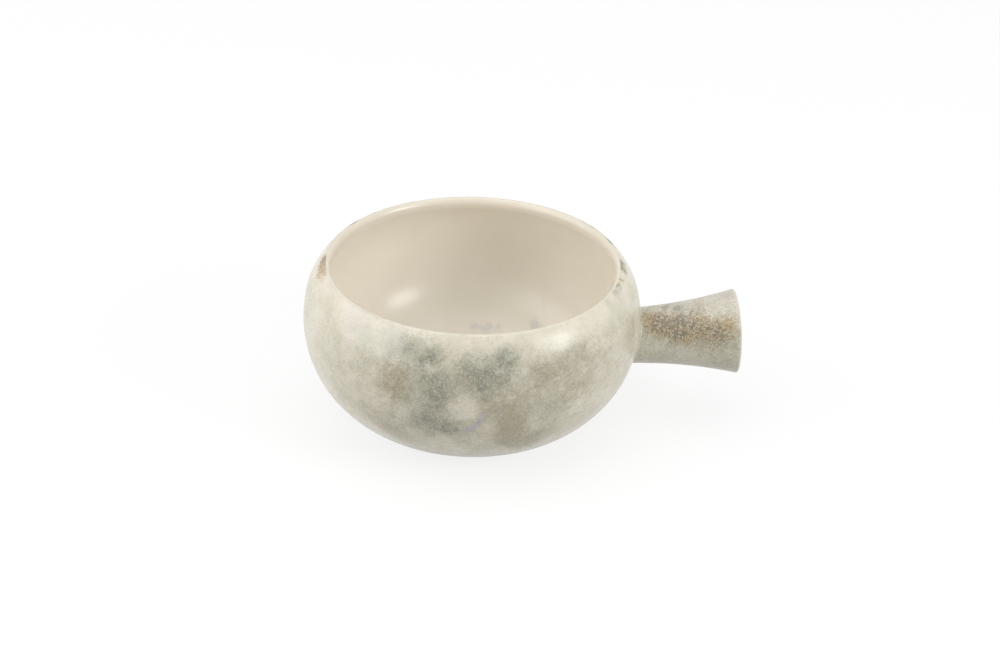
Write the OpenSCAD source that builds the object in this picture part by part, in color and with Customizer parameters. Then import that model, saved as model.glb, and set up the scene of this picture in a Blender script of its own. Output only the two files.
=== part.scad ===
// Lug soup bowl: a glazed stoneware bowl with one hollow flared handle.
// The clay pieces are formed apart, joined with slip and then coated with glaze.
// Millimetres, +Z up. The origin is on the table under the bowl's middle, and the handle points along +X.

/* [Bowl] */
// Widest diameter of the bowl, over the glaze
belly_d = 130; // [124:1:140]
// Height of the lip above the table
bowl_h = 66.2; // [63:0.1:72]
// Height of the lip above the widest level
rim_h = 23.2; // [20:0.1:26]
// How far the crown of the lip is set in from the widest level
mouth_in = 8.7; // [7:0.1:11]
// Thickness of the wall at the widest level, glaze included
wall_t = 4.4; // [3.8:0.1:5.6]
// Thickness of the rounded lip, glaze included
lip_t = 2.8; // [2.2:0.1:3.6]
// How far the lip's round edge stands out from the wall below it
lip_bead = 0.1; // [0.06:0.01:0.2]
// Thickness of the floor, glaze included
floor_t = 5; // [4:0.1:7]

/* [Foot] */
// Outer diameter of the foot ring
foot_d = 64; // [58:1:68]
// Width of the foot ring
foot_w = 4.5; // [3.5:0.1:6]
// Height of the foot ring, from the table to the glaze line
foot_h = 1.4; // [1:0.1:2]
// Depth of the hollow inside the foot ring
recess_h = 2.4; // [1.8:0.1:3]
// Width of the softened edges of the foot ring
foot_edge = 0.5; // [0.3:0.1:0.8]

/* [Handle] */
// Length of the handle beyond the bowl's widest level
handle_len = 38.4; // [32:0.2:50]
// How far below the widest level the handle's centre line meets the bowl
handle_drop = 9.3; // [7:0.1:12]
// Upward slope of the handle in degrees
handle_rise = 2.2; // [0:0.1:5]
// Diameter of the handle at the bowl, over the glaze
handle_root_d = 21.8; // [19:0.1:24]
// Diameter of the handle at its open end, over the glaze
handle_mouth_d = 33.3; // [29:0.1:37]
// Radius of the curve along the handle's flare
flare_r = 185; // [130:1:260]
// Thickness of the handle's clay wall
handle_wall_t = 3.6; // [3:0.1:4.5]
// Depth of the glaze inside the handle's open end
handle_glaze_in = 8; // [4:0.5:14]

/* [Slip and glaze] */
// Thickness of the slip between the handle and the bowl
slip_t = 1; // [0.8:0.1:1.4]
// Width of the slip that stands out round the handle's root
slip_w = 1.2; // [0.8:0.1:2]
// Thickness of the fired glaze
glaze_t = 0.4; // [0.3:0.05:0.5]

/* [Hidden] */
$fn = 240;

// Radius of an arc that leaves an upright wall and passes a point set in by run and away by rise
function arc_to_point(run, rise) = (run * run + rise * rise) / (2 * run);
// Radius of an arc that leaves an upright wall and passes a lip's middle at the distance half_t
function arc_to_lip(run, rise, half_t) = (run * run + rise * rise - half_t * half_t) / (2 * (run - half_t));
function unit(v) = v / norm(v);

belly_r = belly_d / 2;
belly_z = bowl_h - rim_h;
inside_r = belly_r - wall_t;
lip_r = lip_t / 2;
lip_c = [belly_r - mouth_in, bowl_h - lip_r];
lip_rise = rim_h - lip_r;
neck_half_t = lip_r - lip_bead;

// The four curves of the bowl's section have their centres at the widest level
shoulder_r = arc_to_lip(mouth_in, lip_rise, neck_half_t);
shoulder_c = [belly_r - shoulder_r, belly_z];
neck_r = arc_to_lip(mouth_in - wall_t, lip_rise, -neck_half_t);
neck_c = [inside_r - neck_r, belly_z];
foot_r = foot_d / 2;
heel_r = arc_to_point(belly_r - foot_r, belly_z - foot_h);
heel_c = [belly_r - heel_r, belly_z];
floor_z = recess_h + floor_t;
basin_r = belly_z - floor_z;
basin_c = [inside_r - basin_r, belly_z];
recess_r = foot_r - foot_w;

// Along the handle, places are measured from the bowl's axis
root_s = belly_r / cos(handle_rise);
mouth_s = (belly_r + handle_len) / cos(handle_rise);
axis_z = belly_z - handle_drop - belly_r * tan(handle_rise);
root_r = handle_root_d / 2;
mouth_r = handle_mouth_d / 2;
slip_r = root_r + slip_w;

// The flare passes through the handle's root and mouth, and its centre lies outside the handle
flare_chord = [mouth_r - root_r, mouth_s - root_s];
flare_chord_depth = sqrt(flare_r * flare_r - flare_chord * flare_chord / 4);
flare_c = [root_r, root_s] + flare_chord / 2 + flare_chord_depth * unit([flare_chord.y, -flare_chord.x]);
handle_clay_r = flare_r + glaze_t;
handle_mid_r = handle_clay_r + handle_wall_t / 2;
handle_bore_r = handle_clay_r + handle_wall_t;
handle_lip_r = handle_wall_t / 2 + lip_bead;
handle_lip_s = mouth_s - glaze_t - handle_lip_r;
handle_lip_rise = handle_lip_s - flare_c.y;
handle_lip_run = sqrt(handle_mid_r * handle_mid_r - handle_lip_rise * handle_lip_rise);
handle_lip_c = [flare_c.x - handle_lip_run, handle_lip_s];
handle_lip_slope = -handle_lip_rise / handle_lip_run;
function handle_lip_line(r) = [r, handle_lip_c.y + (r - handle_lip_c.x) * handle_lip_slope];

module disc(centre, r) {
    translate(centre) circle(r);
}

// The part of a disc below the widest level and beyond the radius core_r.
// Nearer to the axis it is filled from the level core_z.
module round_heel(centre, r, core_r, core_z) {
    intersection() {
        disc(centre, r);
        translate([core_r, 0]) square([belly_d, belly_z]);
    }
    translate([0, core_z]) square([core_r, belly_z - core_z]);
}

// The space above the widest level
module above_widest() {
    translate([0, belly_z]) square([belly_d, belly_d]);
}

// The wedge of the section that holds the wall above the widest level, up to the lip's middle
module rim_wedge() {
    intersection() {
        above_widest();
        polygon([neck_c, [belly_d, belly_z], shoulder_c + belly_d * unit(lip_c - shoulder_c), lip_c]);
    }
}

// The bowl's outside, filled up to the lip's middle, with its surface a skin away from the clay
module outside_section(skin) {
    round_heel(heel_c, heel_r - glaze_t + skin, foot_r, foot_edge);
    intersection() {
        disc(shoulder_c, shoulder_r - glaze_t + skin);
        rim_wedge();
    }
}

// The bowl's inside, with its surface a skin away from the clay
module inside_section(skin) {
    round_heel(basin_c, basin_r + glaze_t - skin, basin_c.x, floor_z - glaze_t + skin);
    intersection() {
        disc(neck_c, neck_r + glaze_t - skin);
        above_widest();
    }
}

// The bowl's wall, floor and lip, with the surface a skin away from the clay
module bowl_section(skin) {
    difference() {
        outside_section(skin);
        inside_section(skin);
    }
    disc(lip_c, lip_r - glaze_t + skin);
}

// The bowl's inside and the inner half of its wall, up to the crown of the lip
module inner_side() {
    inside_section(glaze_t - neck_half_t);
    translate([0, lip_c.y]) square([lip_c.x, lip_t]);
}

// The softened lower edge of the foot ring
module foot_section() {
    polygon([
        [recess_r, foot_edge],
        [recess_r + foot_edge, 0],
        [foot_r - foot_edge, 0],
        [foot_r, foot_edge]
    ]);
}

// Solid of the bowl's outside below the lip, which trims what is joined to the wall
module wall_trim(skin) {
    rotate_extrude() {
        round_heel(heel_c, heel_r - glaze_t + skin, foot_r, foot_edge);
        intersection() {
            disc(shoulder_c, shoulder_r - glaze_t + skin);
            translate([0, belly_z]) square([belly_d, lip_rise]);
        }
    }
}

module on_handle_axis() {
    translate([0, 0, axis_z]) rotate([0, 90 - handle_rise, 0]) children();
}

// The handle's section inside a curve that follows the flare at the radius r, filled to its axis.
// It runs from inside the bowl to the middle of the handle's lip.
module inside_flare(r) {
    difference() {
        polygon([
            [0, heel_c.x],
            [handle_mouth_d, heel_c.x],
            handle_lip_line(handle_mouth_d),
            handle_lip_line(0)
        ]);
        disc(flare_c, r);
    }
}

// The handle's wall and lip, with the surface a skin away from the clay
module handle_section(skin) {
    intersection() {
        inside_flare(handle_clay_r - skin);
        disc(flare_c, handle_bore_r + skin);
    }
    disc(handle_lip_c, handle_lip_r + skin);
}

// The glaze covers the handle's outside, its lip and the start of its bore
module handle_glaze_section() {
    difference() {
        handle_section(glaze_t);
        handle_section(0);
        intersection() {
            inside_flare(handle_mid_r);
            square([handle_mouth_d, mouth_s - handle_glaze_in]);
        }
    }
}

// Post along the handle's axis that marks where slip meets the bowl
module slip_post(r) {
    on_handle_axis() translate([0, 0, heel_c.x]) cylinder(h = mouth_s - heel_c.x, r = r);
}

// Saddle that stands on the bowl's wall under the handle
module saddle(r, skin) {
    intersection() {
        slip_post(r);
        wall_trim(skin);
    }
}

module bowl_body() {
    color("tan")
    rotate_extrude()
    difference() {
        union() {
            bowl_section(0);
            foot_section();
        }
        square([recess_r, recess_h + glaze_t]);
    }
}

module handle() {
    color("burlywood")
    difference() {
        on_handle_axis() rotate_extrude() handle_section(0);
        wall_trim(slip_t);
    }
}

module slip_joint() {
    color("peru")
    difference() {
        saddle(slip_r, slip_t);
        wall_trim(0);
        on_handle_axis() rotate_extrude() inside_flare(handle_bore_r);
    }
}

module liner_glaze() {
    color("antiquewhite")
    rotate_extrude()
    intersection() {
        difference() {
            bowl_section(glaze_t);
            bowl_section(0);
        }
        inner_side();
    }
}

module outer_glaze() {
    color("darkseagreen")
    difference() {
        rotate_extrude()
        difference() {
            bowl_section(glaze_t);
            bowl_section(0);
            inner_side();
            square([foot_r, belly_z]);
        }
        slip_post(slip_r);
    }
}

module handle_glaze() {
    color("olivedrab")
    difference() {
        union() {
            on_handle_axis() rotate_extrude() handle_glaze_section();
            difference() {
                saddle(slip_r + glaze_t, slip_t + glaze_t);
                on_handle_axis() rotate_extrude() inside_flare(flare_r + glaze_t / 2);
            }
        }
        wall_trim(glaze_t);
        saddle(slip_r, slip_t);
    }
}

module base_glaze() {
    color("beige")
    translate([0, 0, recess_h]) cylinder(h = glaze_t, r = recess_r);
}

bowl_body();
handle();
slip_joint();
liner_glaze();
outer_glaze();
handle_glaze();
base_glaze();
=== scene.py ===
import math

import bmesh
import bpy
from mathutils import Color, Matrix, Vector


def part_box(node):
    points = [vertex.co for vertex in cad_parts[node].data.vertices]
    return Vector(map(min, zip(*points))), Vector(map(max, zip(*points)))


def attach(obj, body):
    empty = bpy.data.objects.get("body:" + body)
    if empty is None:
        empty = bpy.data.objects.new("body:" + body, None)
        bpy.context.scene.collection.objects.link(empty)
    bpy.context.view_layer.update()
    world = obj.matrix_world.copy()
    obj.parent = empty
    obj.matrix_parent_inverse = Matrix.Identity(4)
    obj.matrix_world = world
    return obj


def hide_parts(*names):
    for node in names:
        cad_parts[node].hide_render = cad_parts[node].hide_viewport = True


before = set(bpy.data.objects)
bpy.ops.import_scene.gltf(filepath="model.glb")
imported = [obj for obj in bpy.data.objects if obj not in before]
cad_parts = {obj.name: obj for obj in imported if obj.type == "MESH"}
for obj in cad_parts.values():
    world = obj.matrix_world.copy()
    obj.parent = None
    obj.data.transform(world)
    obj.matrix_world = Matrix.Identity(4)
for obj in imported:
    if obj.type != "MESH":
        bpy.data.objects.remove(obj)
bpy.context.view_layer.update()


# The bowl is one round piece of pale stoneware clay, pressed to shape and turned to a foot ring.
# Only the foot ring stays bare. The rest of the clay lies under the glaze, a skin below its surface.
mm = 0.001
bowl_columns = 256
row_t = 1.1 * mm
merge_t = 0.001 * mm
sharp_turn = math.radians(42)
lip_r = 1.4 * mm
lip_roll_r = 3.2 * mm
lip_roll_turn = math.radians(50)
shoulder_r = 50 * mm
shoulder_rise = 10 * mm
rim_h = 23.2 * mm
mouth_in = 8.7 * mm
wall_t = 4.4 * mm
floor_t = 5 * mm
foot_w = 4.5 * mm
foot_h = 1.4 * mm
foot_edge = 0.5 * mm

outer_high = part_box("outer_glaze")[1]
base_low, base_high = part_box("base_glaze")
glaze_t = base_high.z - base_low.z
recess_r = base_high.x
foot_r = recess_r + foot_w
belly_r = outer_high.y
bowl_h = outer_high.z
belly_z = bowl_h - rim_h
inside_r = belly_r - wall_t
floor_z = base_low.z + floor_t
lip_c = Vector((belly_r - mouth_in, bowl_h - lip_r))


def arc_to_point(run, rise):
    """Radius of an arc that leaves an upright wall and passes a point set in by run and away by rise."""
    return (run * run + rise * rise) / (2 * run)


def arc_to_lip(run, rise, half_t):
    """Radius of an arc that leaves an upright wall and passes a lip's middle at the distance half_t."""
    return (run * run + rise * rise - half_t * half_t) / (2 * (run - half_t))


# The collar's arc carries on from the shoulder's without a kink, and ends on the round of the lip
shoulder_c = Vector((belly_r - shoulder_r, belly_z))
shoulder_out = Vector((math.sqrt(shoulder_r**2 - shoulder_rise**2), shoulder_rise)) / shoulder_r
lip_run = lip_c - shoulder_c
lip_reach = shoulder_r - lip_r
collar_shift = (lip_run.length_squared - lip_reach**2) / (2 * (lip_run.dot(shoulder_out) - lip_reach))
collar_c = shoulder_c + collar_shift * shoulder_out
roll_start = Vector((-math.sin(lip_roll_turn), math.cos(lip_roll_turn)))
roll_c = lip_c - (lip_roll_r - lip_r) * roll_start
neck_r = arc_to_lip(inside_r - roll_c.x, roll_c.y - belly_z, -lip_roll_r)
neck_c = Vector((inside_r - neck_r, belly_z))
heel_r = arc_to_point(belly_r - foot_r, belly_z - foot_h)
heel_c = Vector((belly_r - heel_r, belly_z))
basin_r = belly_z - floor_z
basin_c = Vector((inside_r - basin_r, belly_z))


def start_section(point):
    """A new mesh with the first point of a section, which is a radius and a height."""
    section = bmesh.new()
    return section, section.verts.new((point[0], 0, point[1]))


def line_to(section, tip, end):
    """Draws a straight run of the section in rows, and returns its last point."""
    start = Vector((tip.co.x, tip.co.z))
    rows = max(1, math.ceil((Vector(end) - start).length / row_t))
    for row in range(1, rows + 1):
        tip = bmesh.ops.extrude_vert_indiv(section, verts=[tip])["verts"][0]
        place = start.lerp(Vector(end), row / rows)
        tip.co = (place[0], 0, place[1])
    return tip


def arc_to(section, tip, centre, end, least_rows=8):
    """Draws an arc of the section round its centre, the short way, and returns its last point."""
    start = Vector((tip.co.x, tip.co.z)) - Vector(centre)
    turn = start.angle_signed(Vector(end) - Vector(centre))
    rows = max(least_rows, math.ceil(abs(turn) * start.length / row_t))
    made = bmesh.ops.spin(
        section,
        geom=[tip],
        cent=(centre[0], 0, centre[1]),
        axis=(0, 1, 0),
        angle=turn,
        steps=rows,
    )
    return next(item for item in made["geom_last"] if isinstance(item, bmesh.types.BMVert))


def turn_round(section, columns):
    """Spins a section round the upright axis, and closes the seam and the poles."""
    bmesh.ops.spin(
        section,
        geom=section.verts[:] + section.edges[:],
        cent=(0, 0, 0),
        axis=(0, 0, 1),
        angle=math.tau,
        steps=columns,
        use_merge=True,
    )
    bmesh.ops.remove_doubles(section, verts=section.verts[:], dist=merge_t)
    bmesh.ops.dissolve_degenerate(section, edges=section.edges[:], dist=merge_t)
    bmesh.ops.recalc_face_normals(section, faces=section.faces[:])
    return section


def add_piece(name, shape, material):
    """Makes a shown piece from a finished mesh, smooth except at its real edges."""
    mesh = bpy.data.meshes.new(name)
    shape.to_mesh(mesh)
    shape.free()
    mesh.shade_smooth()
    mesh.set_sharp_from_angle(angle=sharp_turn)
    mesh.materials.append(material)
    piece = bpy.data.objects.new(name, mesh)
    bpy.context.scene.collection.objects.link(piece)
    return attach(piece, "root")


class Shade:
    """A shader socket that can stand in sums, so that a finish reads as arithmetic."""

    def __init__(self, tree, socket):
        self.tree = tree
        self.socket = socket

    def node(self, kind, settings, inputs, output=0):
        """Adds any node: its settings first, then the values or links of its sockets."""
        made = self.tree.nodes.new(kind)
        for name, value in settings.items():
            setattr(made, name, value)
        for name, value in inputs.items():
            if isinstance(value, Shade):
                self.tree.links.new(value.socket, made.inputs[name])
            else:
                made.inputs[name].default_value = value
        return Shade(self.tree, made.outputs[output])

    def sum_node(self, operation, first, second):
        """Adds a step of arithmetic on two values."""
        return self.node("ShaderNodeMath", {"operation": operation}, {0: first, 1: second})

    def vector_node(self, operation, inputs, output=0):
        """Adds a step of vector maths on this socket."""
        return self.node("ShaderNodeVectorMath", {"operation": operation}, {0: self, **inputs}, output)

    def __add__(self, other):
        return self.sum_node("ADD", self, other)

    __radd__ = __add__

    def __sub__(self, other):
        return self.sum_node("SUBTRACT", self, other)

    def __rsub__(self, other):
        return self.sum_node("SUBTRACT", other, self)

    def __mul__(self, other):
        return self.sum_node("MULTIPLY", self, other)

    __rmul__ = __mul__


def srgb(red, green, blue):
    """A colour as screens number it, from 0 to 255, as the shader's linear one."""
    screen = Color((red / 255, green / 255, blue / 255))
    return (*screen.from_srgb_to_scene_linear(), 1)


def new_finish(name):
    """A new material, its shader, and the place on the piece in millimetres."""
    material = bpy.data.materials.new(name)
    material.use_nodes = True
    tree = material.node_tree
    shader = tree.nodes["Principled BSDF"]
    coordinates = tree.nodes.new("ShaderNodeTexCoord")
    metres = Shade(tree, coordinates.outputs["Object"])
    return material, shader, metres.vector_node("SCALE", {"Scale": 1 / mm})


def noise(place, size, detail=2.0, roughness=0.5, output=0):
    """Cloudy noise from 0 to 1 with grains of a size in millimetres."""
    inputs = {"Vector": place, "Scale": 1 / size, "Detail": detail, "Roughness": roughness}
    return place.node("ShaderNodeTexNoise", {}, inputs, output)


def ramp(value, low, high):
    """Rises smoothly from 0 at low to 1 at high."""
    return value.node(
        "ShaderNodeMapRange",
        {"interpolation_type": "SMOOTHSTEP"},
        {"Value": value, "From Min": low, "From Max": high},
    )


def blend(share, below, above):
    """Mixes two colours by a share. The node has sockets for every kind of value, so they go by number."""
    return share.node("ShaderNodeMix", {"data_type": "RGBA"}, {0: share, 6: below, 7: above}, 2)


def apply_finish(shader, colour, roughness, height, bump_t):
    """Links what changes over the surface to the shader."""
    tree = shader.id_data
    normal = height.node("ShaderNodeBump", {}, {"Height": height, "Distance": bump_t, "Strength": 1.0})
    tree.links.new(colour.socket, shader.inputs["Base Color"])
    tree.links.new(roughness.socket, shader.inputs["Roughness"])
    tree.links.new(normal.socket, shader.inputs["Normal"])


# Sizes of the patches and grains in the clay, in millimetres, and how much they show
clay_patch_size = 6.0
sand_size = 0.35
iron_size = 0.7
sand_share = 0.5
iron_share = 0.55
iron_brown = srgb(126, 98, 72)
clay_roughness = 0.82
sand_roughness_share = 0.1
sand_bump_t = 0.06 * mm


def clay_finish(name, pale, dark):
    """Bare fired clay: matt and sandy, with dark grains of iron."""
    material, shader, place = new_finish(name)
    patches = noise(place, clay_patch_size, detail=3.0)
    sand = noise(place, sand_size, roughness=0.7)
    iron = ramp(noise(place, iron_size, detail=1.0), low=0.68, high=0.76)
    colour = blend(ramp(patches + sand_share * sand, low=0.5, high=1.0), dark, pale)
    colour = blend(iron_share * iron, colour, iron_brown)
    roughness = clay_roughness + sand_roughness_share * sand
    apply_finish(shader, colour, roughness, sand, sand_bump_t)
    return material


stoneware = clay_finish("bare_stoneware", pale=srgb(214, 202, 182), dark=srgb(196, 180, 156))
lip_clay_r = lip_r - glaze_t
roll_clay_r = lip_roll_r - glaze_t
heel_clay_r = heel_r - glaze_t
foot_clay_z = heel_c.y - math.sqrt(heel_clay_r**2 - (foot_r - heel_c.x) ** 2)
lip_out = (lip_c - collar_c).normalized()
roll_in = (neck_c - roll_c).normalized()
crown = Vector((0, 1))

bowl, tip = start_section((0, base_high.z))
tip = line_to(bowl, tip, (recess_r, base_high.z))
tip = line_to(bowl, tip, (recess_r, foot_edge))
tip = arc_to(bowl, tip, (recess_r + foot_edge, foot_edge), (recess_r + foot_edge, 0))
tip = line_to(bowl, tip, (foot_r - foot_edge, 0))
tip = arc_to(bowl, tip, (foot_r - foot_edge, foot_edge), (foot_r, foot_edge))
tip = line_to(bowl, tip, (foot_r, foot_clay_z))
tip = arc_to(bowl, tip, heel_c, (belly_r - glaze_t, belly_z))
tip = arc_to(bowl, tip, shoulder_c, shoulder_c + (shoulder_r - glaze_t) * shoulder_out)
tip = arc_to(bowl, tip, collar_c, lip_c + lip_clay_r * lip_out)
tip = arc_to(bowl, tip, lip_c, lip_c + lip_clay_r * crown)
tip = arc_to(bowl, tip, lip_c, lip_c + lip_clay_r * roll_start)
tip = arc_to(bowl, tip, roll_c, roll_c + roll_clay_r * roll_in)
tip = arc_to(bowl, tip, neck_c, (inside_r + glaze_t, belly_z))
tip = arc_to(bowl, tip, basin_c, (basin_c.x, floor_z - glaze_t))
tip = line_to(bowl, tip, (0, floor_z - glaze_t))
bowl_clay = add_piece("bowl_clay", turn_round(bowl, bowl_columns), stoneware)
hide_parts("bowl_body")


# The handle is a hollow flared tube of the same clay, cast apart from the bowl.
# Its root is cut to the curve of the wall, and its open end is flat, with two small round corners.
handle_columns = 128
handle_rise = math.radians(2.2)
handle_drop = 9.3 * mm
handle_len = 38.4 * mm
handle_root_r = 10.9 * mm
handle_mouth_r = 16.65 * mm
handle_wall_t = 3.6 * mm
flare_r = 185 * mm
handle_corner_r = 0.8 * mm
slip_t = 1 * mm
reach_tries = 8

root_s = belly_r / math.cos(handle_rise)
mouth_s = (belly_r + handle_len) / math.cos(handle_rise)
handle_start = Vector((0, 0, belly_z - handle_drop - belly_r * math.tan(handle_rise)))
handle_place = Matrix.Translation(handle_start) @ Matrix.Rotation(math.pi / 2 - handle_rise, 4, "Y")
flare_chord = Vector((handle_mouth_r - handle_root_r, mouth_s - root_s))
flare_depth = math.sqrt(flare_r**2 - flare_chord.length_squared / 4)
flare_side = Vector((flare_chord.y, -flare_chord.x)).normalized()
flare_c = Vector((handle_root_r, root_s)) + flare_chord / 2 + flare_depth * flare_side
handle_end_r = handle_wall_t / 2 + glaze_t
handle_end_s = mouth_s - handle_end_r


def flare_at(s, depth=0):
    """Radius of the handle at a place along it, at a depth below its glaze."""
    return flare_c.x - math.sqrt((flare_r + depth) ** 2 - (s - flare_c.y) ** 2)


def flare_point(s, depth):
    """A point of the handle's section at a place along it, at a depth below its glaze."""
    return Vector((flare_at(s, depth), s))


def wall_at(z):
    """Radius of the bowl's glazed outside at a height, from the foot to the shoulder."""
    centre, radius = (heel_c, heel_r) if z < belly_z else (shoulder_c, shoulder_r)
    return centre.x + math.sqrt(max(0, radius**2 - (z - belly_z) ** 2))


def wall_reach(x, y):
    """How far along the handle's axis a line beside it meets the bowl's wall."""
    reach = root_s
    for _ in range(reach_tries):
        point = handle_place @ Vector((x, y, reach))
        reach += wall_at(point.z) - math.hypot(point.x, point.y)
    return reach


def seat_on_wall(tube):
    """Moves a tube with a flat root along its axis until the root sits on the wall. The open end stays."""
    for vert in tube.verts:
        x, y, s = vert.co
        share = min(1, max(0, (handle_end_s - s) / (handle_end_s - root_s)))
        if share > 0:
            moved = s + share * (wall_reach(x, y) - root_s)
            growth = flare_at(moved) / flare_at(s)
            x, y = x * growth, y * growth
            vert.co = (x, y, s + share * (wall_reach(x, y) - root_s))
    bmesh.ops.transform(tube, matrix=handle_place, verts=tube.verts[:])
    return tube


# At the open end, one direction points from the flare's centre into the wall, and one out of the end
end_in = (flare_point(handle_end_s, handle_end_r) - flare_c).normalized()
end_out = Vector((end_in.y, -end_in.x))


def corner_at(depth):
    """Middle of a round corner of the handle's end, at a depth below its glaze."""
    run = handle_end_r - handle_corner_r
    return flare_c + run * end_out + math.sqrt((flare_r + depth) ** 2 - run**2) * end_in


def round_end(section, tip, depth):
    """Draws the handle's end at a depth below its glaze, from outside over two corners into the bore."""
    corner_r = handle_corner_r - depth
    outer_corner = corner_at(handle_corner_r)
    inner_corner = corner_at(2 * handle_end_r - handle_corner_r)
    outer_side = (flare_c - outer_corner).normalized()
    inner_side = (inner_corner - flare_c).normalized()
    tip = arc_to(section, tip, flare_c, outer_corner + corner_r * outer_side)
    tip = arc_to(section, tip, outer_corner, outer_corner + corner_r * end_out)
    tip = line_to(section, tip, inner_corner + corner_r * end_out)
    return arc_to(section, tip, inner_corner, inner_corner + corner_r * inner_side)


handle_root_s = root_s + slip_t - glaze_t
bore_depth = handle_wall_t + glaze_t
tube, first = start_section(flare_point(handle_root_s, glaze_t))
tip = round_end(tube, first, glaze_t)
tip = arc_to(tube, tip, flare_c, flare_point(handle_root_s, bore_depth))
tip = line_to(tube, tip, (first.co.x, first.co.z))
handle_clay = add_piece("handle_clay", seat_on_wall(turn_round(tube, handle_columns)), stoneware)
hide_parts("handle")


# Slip is wet clay. A ring of it, brushed on between the handle's root and the wall, glues the two.
# It dries as a thin bead round the root, under the glaze.
slip_bead_w = 0.5 * mm
slip_ring, first = start_section((flare_at(root_s, bore_depth), root_s - glaze_t))
tip = line_to(slip_ring, first, (handle_root_r + slip_bead_w, root_s - glaze_t))
tip = line_to(slip_ring, tip, (handle_root_r + slip_bead_w, root_s))
tip = line_to(slip_ring, tip, (handle_root_r, handle_root_s))
tip = line_to(slip_ring, tip, (flare_at(root_s, bore_depth), handle_root_s))
tip = line_to(slip_ring, tip, (first.co.x, first.co.z))
slip_clay = clay_finish("dried_slip", pale=srgb(206, 192, 170), dark=srgb(186, 168, 144))
slip_bead = add_piece("slip_bead", seat_on_wall(turn_round(slip_ring, handle_columns)), slip_clay)
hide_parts("slip_joint")


# The liner is a plain cream glaze, poured into the bowl and out again before the firing.
# It runs over the inner half of the lip, with a few faint blue grey smudges near the floor.
noise_middle = 0.5


def coat(surface, thickness):
    """Gives a glazed surface its thickness, towards the clay."""
    bmesh.ops.solidify(surface, geom=surface.faces[:], thickness=thickness)
    bmesh.ops.recalc_face_normals(surface, faces=surface.faces[:])
    return surface


def along(place, axis):
    """How far a place on the piece lies along an axis, in millimetres."""
    return place.node("ShaderNodeSeparateXYZ", {}, {0: place}, axis)


def spot(place, centre, size):
    """1 at a place on the piece, falling softly to 0 at a distance from it."""
    away = place.vector_node("DISTANCE", {1: centre}, "Value")
    return ramp(away, low=size, high=0.0)


def spots(place, marks):
    """The sum of several spots, each with its middle, its size and its weight."""
    total = 0
    for centre, size, weight in marks:
        total = weight * spot(place, centre, size) + total
    return total


def wander(place, size, reach):
    """Places shifted by noise, so that round marks get ragged edges."""
    drawn = noise(place, size, detail=3.0, roughness=0.6, output="Color")
    centred = drawn.vector_node("SUBTRACT", {1: (noise_middle, noise_middle, noise_middle)})
    return place.vector_node("ADD", {1: centred.vector_node("SCALE", {"Scale": 2 * reach})})


# Each smudge has its middle and its size in millimetres, and its weight
liner_smudges = [
    ((4, 45, 13), 4.0, 0.7),
    ((9, 44, 13), 4.5, 0.9),
    ((14, 43, 13), 4.0, 0.7),
    ((28.5, 40, 16), 5.0, 0.9),
    ((32, 45, 24), 7.0, 0.4),
    ((-20, -36, 12), 9.0, 0.6),
    ((-38, 8, 14), 7.0, 0.5),
]

# Sizes in the glaze, in millimetres. A ragged edge has the size of its tongues, and their reach.
drift_size = 22.0
peel_size = 2.4
fleck_size = 0.8
smudge_grain_size = 1.6
smudge_edge = (4.0, 3.0)

# Towards the lip's crown, the cream is darkened from the first depth below it to the second, as painted
# shade that tones down the bright crown
crown_shade_from = 4.4 * mm
crown_shade_to = 2.2 * mm

liner_cream = srgb(229, 222, 208)
liner_pale = srgb(232, 226, 213)
smudge_grain_share = 0.8
smudge_share = 0.5
fleck_share = 0.06
crown_shade_share = 0.5
smudge_blue = srgb(188, 190, 194)
fleck_brown = srgb(170, 150, 116)
crown_shade_cream = srgb(208, 197, 177)
liner_roughness = 0.22
drift_roughness_share = 0.06
liner_bump_t = 0.02 * mm

cream_glaze, shader, place = new_finish("cream_liner_glaze")
drift = noise(place, drift_size, detail=3.0)
peel = noise(place, peel_size)
fleck = ramp(noise(place, fleck_size, detail=1.0), low=0.66, high=0.74)
smudge_grain = noise(place, smudge_grain_size, detail=3.0) - noise_middle
smudge = spots(wander(place, *smudge_edge), liner_smudges) + smudge_grain_share * smudge_grain
# Painted shade: the cream darkens towards the lip's crown.
crown_shade = ramp(along(place, "Z"), low=(bowl_h - crown_shade_from) / mm, high=(bowl_h - crown_shade_to) / mm)
colour = blend(ramp(drift, low=0.3, high=0.7), liner_cream, liner_pale)
colour = blend(smudge_share * ramp(smudge, low=0.1, high=1.0), colour, smudge_blue)
colour = blend(fleck_share * fleck, colour, fleck_brown)
colour = blend(crown_shade_share * crown_shade, colour, crown_shade_cream)
roughness = liner_roughness + drift_roughness_share * drift
apply_finish(shader, colour, roughness, peel, liner_bump_t)

liner, tip = start_section(lip_c + lip_r * crown)
tip = arc_to(liner, tip, lip_c, lip_c + lip_r * roll_start)
tip = arc_to(liner, tip, roll_c, roll_c + lip_roll_r * roll_in)
tip = arc_to(liner, tip, neck_c, (inside_r, belly_z))
tip = arc_to(liner, tip, basin_c, (basin_c.x, floor_z))
tip = line_to(liner, tip, (0, floor_z))
liner_coat = add_piece("liner_coat", coat(turn_round(liner, bowl_columns), glaze_t), cream_glaze)
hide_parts("liner_glaze")


# The outside has a satin reactive glaze, sprayed over the clay in several colours that melt together.
# Grey green and olive clouds of fine specks lie on a cream ground, with faint lavender wisps.

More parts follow.
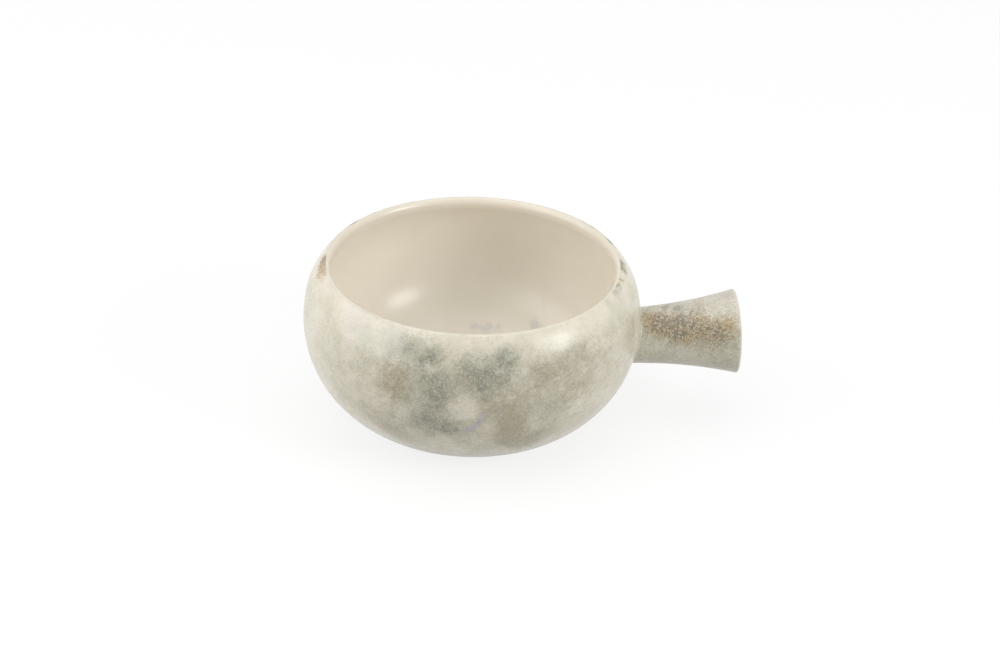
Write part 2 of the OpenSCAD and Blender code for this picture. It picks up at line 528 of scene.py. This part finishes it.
# Each mark below has its middle and its size in millimetres, and its weight. From the first to the
# second distance behind the middle, the clouds turn random.
outer_marks = {
    "behind": (-10.0, 25.0),
    "speckle_share": 0.11,
    "cloud": [
        ((-22, -56.5, 60.3), 11.0, 0.85),
        ((-18, -59, 58.3), 8.0, 0.55),
        ((-12, -58.3, 62.5), 6.0, 0.35),
        ((-23, -59, 54), 10.0, 0.5),
        ((-29, -54, 59), 8.0, 0.45),
        ((-16, -62.5, 47.5), 12.0, 1.1),
        ((-4, -62.7, 55.3), 12.0, 1.15),
        ((2.5, -64.5, 48), 11.0, 0.9),
        ((8, -62.4, 56), 10.0, 0.8),
        ((-18, -62, 36), 13.0, 1.0),
        ((-18, -60, 30), 9.0, 0.6),
        ((-10, -62, 29), 8.0, 0.9),
        ((-29, -55, 28), 14.0, 0.5),
        ((8.5, -60.6, 60), 7.0, 0.75),
        ((57, -1, 66), 4.5, 1.1),
        ((57, -6, 65.8), 4.5, 1.1),
        ((53.5, -18.5, 66), 4.0, 0.8),
        ((51, -24, 66), 3.5, 0.7),
        ((47.5, -30, 66), 3.0, 0.5),
        ((45, 34, 66), 5.0, 0.9),
        ((49.5, 27.5, 66), 5.0, 1.0),
        ((54, 17, 66), 5.0, 0.9),
        ((-44, 35, 66), 4.0, 0.9),
    ],
    "olive": [
        # The olive marks low on the front, 17 to 23 mm up, are partly painted shade near the foot.
        ((10, -64, 38), 12.0, 0.7),
        ((11, -61.5, 29), 10.0, 1.0),
        ((10, -59, 23), 9.0, 1.0),
        ((-30, -50, 19), 11.0, 0.6),
        ((20, -54, 20), 13.0, 0.9),
        ((25, -58, 53), 16.0, 0.7),
        ((43, -48, 51), 20.0, 0.4),
        ((37, -50, 58), 9.0, 0.5),
        ((33, -55.8, 40), 10.0, 0.5),
        ((15, -54.5, 17.5), 9.0, 0.6),
        ((-31.5, -56.5, 47), 13.5, 0.8),
        ((-30, -55, 36), 14.0, 0.2),
        ((-38, -47, 26), 14.0, 0.6),
        ((-45, -44, 44), 16.0, 0.2),
        ((0, -64, 46), 50.0, 0.5),
    ],
    "blue": [
        ((-32, -50.5, 61.5), 10.0, 1.0),
        ((-41, -43.5, 60.5), 12.0, 0.5),
        ((-33, -52.5, 57.5), 7.0, 0.8),
        ((-24, -59, 50), 11.0, 0.8),
        ((-23.5, -60.5, 41), 12.0, 0.8),
        ((-23, -58, 30), 12.0, 0.8),
        ((22, -60, 37), 12.0, 0.7),
        ((30, -56, 32), 14.0, 0.5),
        ((5, -60.5, 60), 5.0, 0.6),
        ((53, -23, 64.5), 8.0, 0.9),
        ((48, -31, 65), 6.0, 0.7),
    ],
    "pale": [
        ((-6.5, -64.6, 41), 9.0, 0.9),
        ((3, -63.4, 31.5), 7.0, 0.55),
        ((-10, -63.8, 37), 6.0, 0.6),
        ((5.1, -62.9, 54.7), 3.0, 0.7),
        ((8.4, -62.6, 54.4), 3.5, 0.7),
        ((15.5, -61.4, 54), 4.0, 0.7),
        ((-19.2, -60.2, 54.6), 5.0, 0.8),
        ((-4.5, -64.4, 37), 7.0, 0.5),
        ((-55, -33, 49.5), 9.0, 0.8),
        ((10.8, -64, 44), 5.0, 0.5),
        ((-60, -22, 54), 14.0, 0.9),
        ((-62, -17, 43), 12.0, 0.7),
        # These four pale marks on the right edge, beside the handle's root, are painted light.
        ((62, -16, 51), 10.0, 1.3),
        ((61.6, -19, 45), 10.0, 1.3),
        ((61, -20, 38), 10.0, 1.3),
        ((59, -21, 31), 10.0, 1.2),
    ],
    "lavender": [
        ((-6, -62.3, 29), 3.0, 0.8),
        ((-4, -62.9, 30.2), 2.8, 0.8),
        ((-2, -63.4, 31.7), 2.8, 1.0),
        ((-0.7, -64, 34.2), 2.6, 0.9),
        ((0, -64.6, 37), 2.2, 0.8),
        ((-46, -38, 62), 20.0, 0.35),
        ((48, -37, 60), 18.0, 0.25),
    ],
    "rust": [
        ((-57, 6, 65.8), 5.0, 0.95),
        ((-57.6, 2, 65.3), 5.0, 0.9),
        ((-57.8, -3, 65), 5.0, 0.8),
        ((-57.3, -8, 65.3), 4.0, 0.5),
        ((57, -3, 66), 5.0, 0.5),
        ((57, -7, 65.8), 4.0, 0.4),
        ((55.4, -14, 66), 4.0, 0.6),
        ((53.5, -19, 66), 4.0, 0.5),
        ((51.5, -23, 66), 4.0, 0.4),
        ((60, -25, 53), 9.0, 0.4),
        ((-31.5, -56.5, 47), 11.0, 0.42),
    ],
    "orange": [
        ((-58, 1.5, 65), 4.5, 0.8),
        ((-58.4, -3, 64.2), 5.0, 0.9),
        ((-57.8, -7.5, 64.6), 4.5, 0.7),
        ((55.3, -14.5, 66), 3.0, 1.0),
    ],
}

# The sprayed colours, in the order that they go on. Each has its ragged edge, what its marks and the
# noises add to it, the sums at which it starts and is full, and the share of the ground that it covers.
sprays = {
    "blue": {
        "edge": (7.0, 4.0),
        "mark_share": 0.8,
        "noise_shares": {"dust": 1.4},
        "limits": (0.05, 1.0),
        "cover_share": 0.6,
        "colour": srgb(170, 173, 162),
    },
    "olive": {
        "edge": (7.0, 4.0),
        "mark_share": 0.8,
        "noise_shares": {"belt": 0.3, "wild": 0.6, "dust": 2.0},
        "limits": (0.0, 1.2),
        "cover_share": 0.85,
        "colour": srgb(150, 143, 119),
    },
    "cloud": {
        "edge": (7.0, 4.0),
        "mark_share": 0.8,
        "noise_shares": {"wild": 0.9, "mist": 2.0},
        "limits": (0.05, 1.2),
        "cover_share": 0.9,
        "colour": srgb(122, 124, 109),
    },
    # The pale spray is partly the glaze's own pale patches and partly painted light, at the marks so
    # noted.
    "pale": {
        "edge": (3.0, 2.0),
        "mark_share": 1.0,
        "noise_shares": {"dust": 2.0},
        "limits": (0.15, 0.95),
        "cover_share": 0.65,
        "colour": srgb(218, 211, 196),
    },
    "lavender": {
        "edge": (5.0, 1.2),
        "mark_share": 1.0,
        "noise_shares": {"dust": 0.4},
        "limits": (0.1, 0.9),
        "cover_share": 0.7,
        "colour": srgb(166, 159, 171),
    },
}

# Faint tints over the sprayed colours: the size of their patches, how much they cover, and their colour
tints = [
    (3.6, 0.12, srgb(196, 178, 122)),
    (4.4, 0.12, srgb(160, 182, 178)),
    (9.0, 0.1, srgb(222, 192, 184)),
]

# Sizes in the glaze, in millimetres. A grain's edge wanders by a share of the grain's size.
broad_size = 26.0
tint_size = 13.0
mist_size = 8.0
dust_size = 6.0
grain_size = 0.55
grain_reach_share = 1 / 3
earth_size = 2.4
rust_edge = (4.0, 2.0)
orange_edge = (3.0, 1.5)

# Heights in millimetres between which the glaze changes
belt_upper = (62.0, 48.0)
belt_lower = (12.0, 26.0)
rim_rise = (58.0, 65.5)
foot_fall = (15.0, 6.0)

# The cream ground: paler at the lip, where the glaze breaks pale and a highlight along the rim is also
# painted in, and darker at the foot as painted shade
ground_dust_share = 0.6
wash_mist_share = 0.5
wash_share = 0.4
wash_cream = srgb(216, 206, 193)
rim_sheen_share = 0.42
rim_sheen_cream = srgb(231, 223, 207)
foot_shade_share = 0.45
foot_shade_brown = srgb(118, 108, 94)

# Rusty grains, in an earthy mix with light, orange and nearly black ones
rust_behind_share = 0.5
earth_olive = srgb(146, 135, 106)
earth_brown = srgb(170, 140, 95)
earth_dark_share = 0.6
earth_dark = srgb(108, 100, 82)
earth_cloud_share = 0.4
earth_cloud = srgb(114, 114, 98)
earth_grain_share = 0.7
earth_share = 0.8
straw_share = 0.28
straw = srgb(206, 194, 168)
orange_share = 0.6
ochre = srgb(180, 145, 86)
black_cloud_share = 0.3
black_share = 0.5
black_grey = srgb(84, 82, 76)

# Fine dark and light specks, which thin out towards the lip
olive_speck_share = 0.05
cloud_speck_share = 0.12
rust_speck_share = 0.1
rim_clear_share = 0.9
dark_speck = srgb(104, 104, 90)
light_speck = srgb(230, 224, 208)

mottle_roughness = 0.27
cloud_roughness_share = 0.12
rust_roughness_share = 0.1
dust_roughness_share = 0.1
mottle_bump_t = 0.025 * mm


def grains(place, size):
    """Three random numbers from 0 to 1 for each fine grain in the glaze, of a size in millimetres."""
    loose = wander(place, size, grain_reach_share * size)
    cells = place.node("ShaderNodeTexVoronoi", {}, {"Vector": loose, "Scale": 1 / size}, "Color")
    channels = ("Red", "Green", "Blue")
    return [cells.node("ShaderNodeSeparateColor", {}, {0: cells}, channel) for channel in channels]


def mottled_finish(name, marks, ground, pale):
    """Reactive glaze: sprayed clouds of fine grains, at the marked places and at random behind, with
    painted shade towards the foot and a partly painted highlight at the lip.
    """
    material, shader, place = new_finish(name)
    broad = noise(place, broad_size, detail=4.0, roughness=0.55)
    tint = noise(place, tint_size, detail=3.0, roughness=0.6)
    mist = noise(place, mist_size, detail=5.0, roughness=0.9) - noise_middle
    dust = noise(place, dust_size, detail=5.0, roughness=0.9) - noise_middle
    peel = noise(place, peel_size)
    first, second, third = grains(place, grain_size)
    behind = ramp(along(place, "Y"), *marks["behind"])
    wild = behind * ramp(broad, low=0.4, high=0.8)
    height = along(place, "Z")
    belt = ramp(height, *belt_upper) * ramp(height, *belt_lower)
    rim_and_sheen = ramp(height, *rim_rise)
    foot = ramp(height, *foot_fall)

    colour = blend(ramp(tint + ground_dust_share * dust, low=0.3, high=0.7), ground, pale)
    wash = ramp(broad + wash_mist_share * mist, low=0.45, high=0.7)
    colour = blend(wash_share * wash, colour, wash_cream)
    # Paler towards the lip: partly the glaze's pale break, partly a painted highlight along the rim.
    colour = blend(rim_sheen_share * rim_and_sheen, colour, rim_sheen_cream)

    noises = {"belt": belt, "wild": wild, "mist": mist, "dust": dust}
    sprayed = {}
    for tone, spray in sprays.items():
        amount = spray["mark_share"] * spots(wander(place, *spray["edge"]), marks[tone])
        for source, share in spray["noise_shares"].items():
            amount = amount + share * noises[source]
        sprayed[tone] = ramp(amount, *spray["limits"])
        colour = blend(spray["cover_share"] * sprayed[tone], colour, spray["colour"])
    for size, share, tint_colour in tints:
        patches = ramp(noise(place, size, roughness=0.8), low=0.5, high=0.75)
        colour = blend(share * patches, colour, tint_colour)
    olive = sprayed["olive"]
    cloud = sprayed["cloud"]

    rust = spots(wander(place, *rust_edge), marks["rust"])
    rust = rust + rust_behind_share * behind * ramp(tint, low=0.52, high=0.72)
    orange = spots(wander(place, *orange_edge), marks["orange"])
    earth_patches = ramp(noise(place, earth_size, detail=3.0, roughness=0.8), low=0.35, high=0.65)
    earth = blend(earth_patches, earth_olive, earth_brown)
    earth = blend(earth_dark_share * ramp(second, low=0.6, high=0.0), earth, earth_dark)
    earth = blend(earth_cloud_share * cloud, earth, earth_cloud)
    earthy = ramp(rust + earth_grain_share * first + dust, low=0.45, high=1.35)
    colour = blend(earth_share * earthy, colour, earth)
    colour = blend(straw_share * ramp(rust + first, low=1.5, high=1.9), colour, straw)
    colour = blend(orange_share * ramp(orange + third, low=0.8, high=1.5), colour, ochre)
    black = ramp(rust + third + black_cloud_share * cloud, low=1.4, high=1.8)
    colour = blend(black_share * black, colour, black_grey)

    specks = marks["speckle_share"] + olive_speck_share * olive + cloud_speck_share * cloud
    specks = specks * (1 - rim_clear_share * rim_and_sheen)
    dark_specks = (specks + rust_speck_share * rust) * ramp(third, low=0.6, high=0.9)
    colour = blend(dark_specks, colour, dark_speck)
    colour = blend(specks * ramp(third, low=0.4, high=0.1), colour, light_speck)
    # Painted shade: the glaze darkens towards the foot.
    colour = blend(foot_shade_share * foot, colour, foot_shade_brown)
    roughness = mottle_roughness + cloud_roughness_share * cloud
    roughness = roughness + rust_roughness_share * rust + dust_roughness_share * dust
    apply_finish(shader, colour, roughness, mist + peel, mottle_bump_t)
    return material


outer_mottle = mottled_finish(
    "mottled_outer_glaze",
    outer_marks,
    ground=srgb(196, 192, 172),
    pale=srgb(216, 211, 194),
)

bare_root_r = 8.7 * mm
to_handle = handle_place.inverted()


def under_root(face):
    """Whether a face lies under the handle's root, where the wall has no glaze."""
    middle = face.calc_center_median()
    return middle.x > 0 and (to_handle @ middle).xy.length < bare_root_r


outer, tip = start_section(lip_c + lip_r * crown)
tip = arc_to(outer, tip, lip_c, lip_c + lip_r * lip_out)
tip = arc_to(outer, tip, collar_c, shoulder_c + shoulder_r * shoulder_out)
tip = arc_to(outer, tip, shoulder_c, (belly_r, belly_z))
tip = arc_to(outer, tip, heel_c, (foot_r, foot_h))
outer = turn_round(outer, bowl_columns)
bmesh.ops.delete(outer, geom=[face for face in outer.faces if under_root(face)], context="FACES")
outer_coat = add_piece("outer_coat", coat(outer, glaze_t), outer_mottle)
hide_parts("outer_glaze")


# The handle carries the same glaze, over its root, its open end and the start of its bore.
# It pools in a small fillet where the handle meets the wall, and a rusty band runs along its front.
fillet_r = 1 * mm
fillet_lap = 0.3 * mm
fillet_rows = 10
handle_glaze_in = 8 * mm
handle_marks = {
    "behind": (3.0, 14.0),
    "speckle_share": 0.17,
    "cloud": [
        ((75.3, -6.8, 43.6), 5.0, 0.9),
        ((81, -6, 45), 5.0, 0.9),
        ((79, -11, 39.5), 3.5, 0.8),
        ((86.5, -5.8, 46.4), 4.5, 0.8),
        ((69, 2, 45), 3.5, 0.7),
        ((74.5, 0.5, 45.8), 3.5, 1.1),
        ((80, -1, 46.5), 3.5, 1.0),
        ((81, -11, 39.3), 5.0, 0.5),
        ((94, -13.5, 40), 7.0, 0.4),
    ],
    "olive": [
        ((70, -7, 42), 9.0, 0.7),
        ((78, -10, 40), 10.0, 0.7),
        ((88, -11, 41), 10.0, 0.6),
        ((97, -13, 40), 11.0, 0.6),
    ],
    "blue": [
        ((86, -4, 47), 5.0, 0.8),
        ((84, 0, 47), 8.0, 0.5),
        ((93, -4, 48.3), 8.0, 0.5),
        ((75, -8, 43), 5.0, 0.7),
        ((76, -12, 32), 8.0, 0.7),
        ((90, -13, 31), 8.0, 0.4),
    ],
    "pale": [
        # The first two pale marks, on top of the open end, are painted light from above.
        ((95, 0, 50), 11.0, 0.8),
        ((101, 0, 51.3), 7.0, 0.7),
        ((71, -1.5, 45.2), 4.0, 0.8),
    ],
    "lavender": [
        ((98, 0, 50), 7.0, 0.5),
        ((75, -11, 31), 7.0, 0.3),
    ],
    "rust": [
        ((69.5, -6, 43), 9.0, 1.1),
        ((75.5, -8.5, 41.8), 9.0, 0.8),
        ((77.5, -10.3, 40), 6.0, 0.5),
        ((81, -7.5, 44), 9.0, 0.5),
        ((83.5, -11, 40), 10.0, 0.5),
        ((87, -7.5, 45.3), 9.0, 0.35),
        ((90, -11, 42), 10.0, 0.55),
        ((97, -12, 43.5), 10.0, 0.65),
        ((94.8, -14, 39), 9.0, 0.4),
        ((82, -11.6, 38.5), 4.0, 0.4),
    ],
    "orange": [
        ((68.5, -5.6, 43.4), 4.5, 0.9),
        ((88, -8, 45.4), 4.0, 0.5),
        ((97, -11.6, 44.6), 5.0, 0.8),
        ((82, -11.6, 38.5), 4.0, 0.8),
    ],
}
handle_mottle = mottled_finish(
    "mottled_handle_glaze",
    handle_marks,
    ground=srgb(196, 193, 175),
    pale=srgb(213, 209, 193),
)

fillet_c = Vector((handle_root_r + fillet_r, root_s + fillet_r))
sleeve, tip = start_section(fillet_c + Vector((fillet_lap, -fillet_r - fillet_lap / 2)))
tip = line_to(sleeve, tip, fillet_c + Vector((0, -fillet_r)))
tip = arc_to(sleeve, tip, fillet_c, fillet_c + Vector((-fillet_r, 0)), fillet_rows)
tip = line_to(sleeve, tip, flare_point(root_s + fillet_r + row_t, 0))
tip = round_end(sleeve, tip, 0)
tip = arc_to(sleeve, tip, flare_c, flare_point(mouth_s - handle_glaze_in, bore_depth + glaze_t))
sleeve = seat_on_wall(turn_round(sleeve, handle_columns))
bmesh.ops.recalc_face_normals(sleeve, faces=sleeve.faces[:])
handle_coat = add_piece("handle_coat", coat(sleeve, glaze_t), handle_mottle)
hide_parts("handle_glaze")


# The hollow inside the foot ring is wiped with a thin coat of the cream glaze.
# It climbs a little up the ring's inner side, as a liquid does.
climb_r = 0.5 * mm
streak_size = 5.0
base_grain_size = 0.7
base_cream = srgb(207, 195, 174)
base_pale = srgb(220, 210, 192)
base_grain_share = 0.3
base_grain_brown = srgb(150, 124, 90)
base_roughness = 0.35
streak_roughness_share = 0.2
base_bump_t = 0.03 * mm

base, tip = start_section((0, base_low.z))
tip = line_to(base, tip, (recess_r - climb_r, base_low.z))
tip = arc_to(base, tip, (recess_r - climb_r, base_low.z - climb_r), (recess_r, base_low.z - climb_r))
base_glaze, shader, place = new_finish("wiped_base_glaze")
streak = noise(place, streak_size, detail=4.0, roughness=0.65)
base_grain = ramp(noise(place, base_grain_size, detail=1.0), low=0.64, high=0.74)
colour = blend(ramp(streak, low=0.3, high=0.7), base_cream, base_pale)
colour = blend(base_grain_share * base_grain, colour, base_grain_brown)
apply_finish(shader, colour, base_roughness + streak_roughness_share * streak, streak, base_bump_t)
base_coat = add_piece("base_coat", coat(turn_round(base, bowl_columns), glaze_t), base_glaze)
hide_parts("base_glaze")


# The studio has a pale floor, a large soft light above, a wide panel at the left and a small soft box
# at the front right. The floor shows nearly white to the camera and to reflections, and keeps the
# bowl's shadow.
floor_size = 3.0
floor_white_share = 0.82
floor_roughness = 0.9
floor_dark = (0.6, 0.6, 0.6, 1)
floor_pale = (0.95, 0.95, 0.95, 1)
white = (1, 1, 1, 1)
world_level = 0.5
box_away = 1.2
aim = Vector((0, 0, belly_z))


def seen_share(tree):
    """1 where the camera, a reflection or a view through glass sees it, and 0 for the light it gives."""
    path = tree.nodes.new("ShaderNodeLightPath")
    total = 0
    for ray in ("Is Camera Ray", "Is Glossy Ray", "Is Transmission Ray"):
        total = Shade(tree, path.outputs[ray]) + total
    return ramp(total, low=0.0, high=1.0)


studio_floor = bmesh.new()
bmesh.ops.create_grid(studio_floor, x_segments=1, y_segments=1, size=floor_size)
floor_mesh = bpy.data.meshes.new("studio_floor")
studio_floor.to_mesh(floor_mesh)
studio_floor.free()
floor_object = bpy.data.objects.new("studio_floor", floor_mesh)
bpy.context.scene.collection.objects.link(floor_object)
floor_finish = bpy.data.materials.new("studio_floor")
floor_finish.use_nodes = True
tree = floor_finish.node_tree
shader = tree.nodes["Principled BSDF"]
shader.inputs["Roughness"].default_value = floor_roughness
seen = seen_share(tree)
tree.links.new(blend(seen, floor_dark, floor_pale).socket, shader.inputs["Base Color"])
lit = Shade(tree, shader.outputs["BSDF"])
glow = seen.node("ShaderNodeEmission", {}, {"Color": white, "Strength": 1.0})
shown = seen.node("ShaderNodeMixShader", {}, {0: floor_white_share * seen, 1: lit, 2: glow})
tree.links.new(shown.socket, tree.nodes["Material Output"].inputs["Surface"])
floor_mesh.materials.append(floor_finish)

world = bpy.data.worlds.new("studio")
bpy.context.scene.world = world
world.use_nodes = True
tree = world.node_tree
back = tree.nodes["Background"]
back.inputs["Color"].default_value = white
level = world_level + (1 - world_level) * seen_share(tree)
tree.links.new(level.socket, back.inputs["Strength"])


def toward(azimuth, elevation):
    """Direction from the bowl, with azimuth 0 at its front and positive towards the handle."""
    turn = math.radians(azimuth)
    lift = math.radians(elevation)
    level_run = math.cos(lift)
    return Vector((math.sin(turn) * level_run, -math.cos(turn) * level_run, math.sin(lift)))


def soft_box(name, azimuth, elevation, width, height, watts):
    """A rectangle of even light that faces the bowl from a direction in degrees, with sides in metres."""
    lamp = bpy.data.lights.new(name, "AREA")
    lamp.shape = "RECTANGLE"
    lamp.size = width
    lamp.size_y = height
    lamp.energy = watts
    light = bpy.data.objects.new(name, lamp)
    direction = toward(azimuth, elevation)
    light.location = aim + box_away * direction
    light.rotation_euler = direction.to_track_quat("Z", "Y").to_euler()
    bpy.context.scene.collection.objects.link(light)


soft_box("right_soft_box", azimuth=57, elevation=24, width=0.5, height=0.46, watts=6.2)
soft_box("left_panel", azimuth=-80, elevation=22, width=1.2, height=1.2, watts=9.5)
soft_box("overhead_light", azimuth=0, elevation=90, width=1.2, height=1.2, watts=5.2)

# The camera's angles are in degrees, its distance in metres, and its lens and sensor in millimetres
camera_azimuth = -4.06
camera_elevation = 28.81
camera_roll = 1.30
camera_away = 1.1
camera_lens = 102.56
camera_sensor_w = 36
camera_shift_x_share = 0.02796
camera_shift_y_share = -0.01751

camera_data = bpy.data.cameras.new("camera")
camera_data.sensor_width = camera_sensor_w
camera_data.lens = camera_lens
camera_data.shift_x = camera_shift_x_share
camera_data.shift_y = camera_shift_y_share
camera = bpy.data.objects.new("camera", camera_data)
direction = toward(camera_azimuth, camera_elevation)
camera_place = Matrix.Translation(aim + camera_away * direction)
camera_turn = direction.to_track_quat("Z", "Y").to_matrix().to_4x4()
camera.matrix_world = camera_place @ camera_turn @ Matrix.Rotation(math.radians(camera_roll), 4, "Z")
bpy.context.scene.collection.objects.link(camera)
bpy.context.scene.camera = camera
bpy.context.scene.view_settings.view_transform = "Standard"
